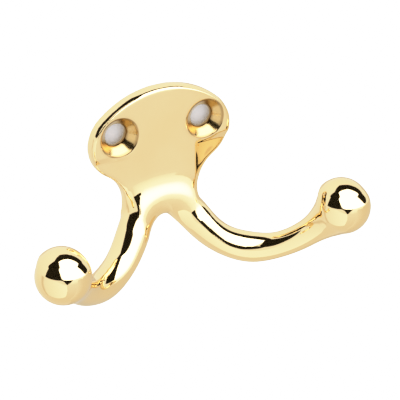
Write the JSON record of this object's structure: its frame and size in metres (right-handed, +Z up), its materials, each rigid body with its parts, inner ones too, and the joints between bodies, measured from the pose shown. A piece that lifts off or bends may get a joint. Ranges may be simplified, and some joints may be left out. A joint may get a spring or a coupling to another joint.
{
  "type": "double robe hook",
  "caption": "Polished brass wall hook cast in one piece: an oval plate with countersunk screw holes, forking into curved arms with ball ends.",
  "frame": {"origin": "midway between the two screw holes, on the flat back of the plate", "axes": "+X to the right seen from the front, +Y into the wall, +Z up"},
  "size_m": [0.0834, 0.0296, 0.0446],
  "materials": {
    "polished_brass": "mirror polished and lacquered"
  },
  "bodies": {
    "root": {"hook_casting": "polished_brass"}
  },
  "joints": []
}
